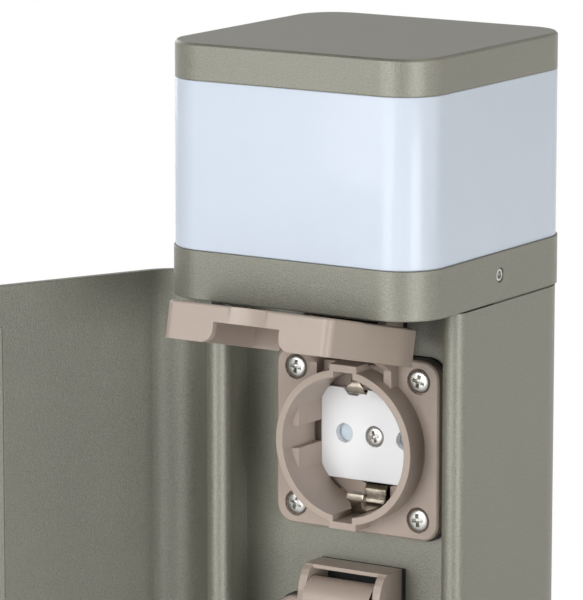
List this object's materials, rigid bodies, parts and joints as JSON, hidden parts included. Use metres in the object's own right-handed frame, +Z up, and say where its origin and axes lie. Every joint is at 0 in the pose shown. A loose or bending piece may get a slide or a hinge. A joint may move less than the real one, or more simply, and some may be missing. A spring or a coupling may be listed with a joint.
{
  "type": "garden lamp post with sockets",
  "caption": "Square garden post with an opal lamp head, and mains sockets under hinged lids behind a swinging lockable door.",
  "frame": {"origin": "middle of the base plate's underside, on the post's axis", "axes": "+Z up the post; the sockets look towards -Y; the door hangs on the -X side"},
  "size_m": [0.1563, 0.1426, 0.5],
  "materials": {
    "powder_coat": "fine textured powder coat, low sheen",
    "base_steel": "fine textured powder coat on steel",
    "opal": "opal, smooth",
    "socket_plastic": "taupe, satin",
    "white_plastic": "white, satin",
    "shutter_plastic": "pale blue grey",
    "inner_plastic": "light grey",
    "rubber": "matt black",
    "zinc_steel": "bright zinc plated",
    "nickel": "nickel-plated spring bronze",
    "brass": "bare brass",
    "aluminium": "bare aluminium",
    "board": "white solder mask",
    "led": "phosphor yellow"
  },
  "bodies": {
    "post": {"base_plate": "base_steel", "base_screws": "zinc_steel", "board_screws": "zinc_steel", "cable_grommet": "rubber", "cap": "powder_coat", "cap_gasket": "rubber", "centre_screw_1": "zinc_steel", "centre_screw_2": "zinc_steel", "collar": "powder_coat", "collar_screws": "zinc_steel", "contact_carrier_1": "socket_plastic", "contact_carrier_2": "socket_plastic", "cover_brackets": "base_steel", "cover_screws": "zinc_steel", "diffuser": "opal", "diffuser_gasket": "rubber", "earth_strap_1": "nickel", "earth_strap_2": "nickel", "flange_gasket_1": "rubber", "flange_gasket_2": "rubber", "flange_screws_1": "zinc_steel", "flange_screws_2": "zinc_steel", "grub_screws": "zinc_steel", "insert_plate_1": "white_plastic", "insert_plate_2": "white_plastic", "led_board": "board", "led_chips": "led", "led_driver": "inner_plastic", "lid_pin_1": "zinc_steel", "lid_pin_2": "zinc_steel", "lower_cover": "powder_coat", "lower_pivot": "zinc_steel", "mounting_plate": "aluminium", "mounting_screws": "zinc_steel", "pin_sleeves_1": "brass", "pin_sleeves_2": "brass", "post_profile": "powder_coat", "sill_plate": "powder_coat", "sill_screws": "zinc_steel", "socket_housing_1": "socket_plastic", "socket_housing_2": "socket_plastic", "terminal_block": "inner_plastic", "terminal_screws": "brass", "tie_rods": "zinc_steel", "tie_screws": "zinc_steel", "upper_pivot": "zinc_steel"},
    "door": {"door": "powder_coat", "hinge_plates": "zinc_steel", "hinge_rivets": "zinc_steel", "lock_barrel": "zinc_steel", "lock_nut": "zinc_steel"},
    "lock": {"lock_plug": "zinc_steel", "lock_cam": "zinc_steel", "cam_screw": "zinc_steel"},
    "lid_1": {"lid_1": "socket_plastic", "lid_seal_1": "rubber"},
    "lid_2": {"lid_2": "socket_plastic", "lid_seal_2": "rubber"},
    "shutter_1": {"shutter_1": "shutter_plastic"},
    "shutter_2": {"shutter_2": "shutter_plastic"}
  },
  "joints": [
    {"name": "door_hinge", "type": "hinge", "parent": "post", "child": "door", "pos_m": [-0.0365, -0.012, 0.3375], "axis": [0, 0, 1], "range_deg": [-4, 62]},
    {"name": "lock_turn", "type": "hinge", "parent": "door", "child": "lock", "pos_m": [-0.07954, -0.05165, 0.262], "axis": [-0.8988, 0.4384, 0], "range_deg": [0, 90]},
    {"name": "lid_1_hinge", "type": "hinge", "parent": "post", "child": "lid_1", "pos_m": [0, -0.009, 0.4172], "axis": [-1, 0, 0], "range_deg": [-103, 0]},
    {"name": "lid_2_hinge", "type": "hinge", "parent": "post", "child": "lid_2", "pos_m": [0, -0.009, 0.348], "axis": [-1, 0, 0], "range_deg": [0, 103]},
    {"name": "shutter_1_turn", "type": "hinge", "parent": "post", "child": "shutter_1", "pos_m": [0, 0.0075, 0.39075], "axis": [0, 1, 0], "range_deg": [0, 42], "stiffness_Nm_per_rad": 0.002, "springref_deg": -11.46},
    {"name": "shutter_2_turn", "type": "hinge", "parent": "post", "child": "shutter_2", "pos_m": [0, 0.0075, 0.32155], "axis": [0, 1, 0], "range_deg": [0, 42], "stiffness_Nm_per_rad": 0.002, "springref_deg": -11.46}
  ]
}
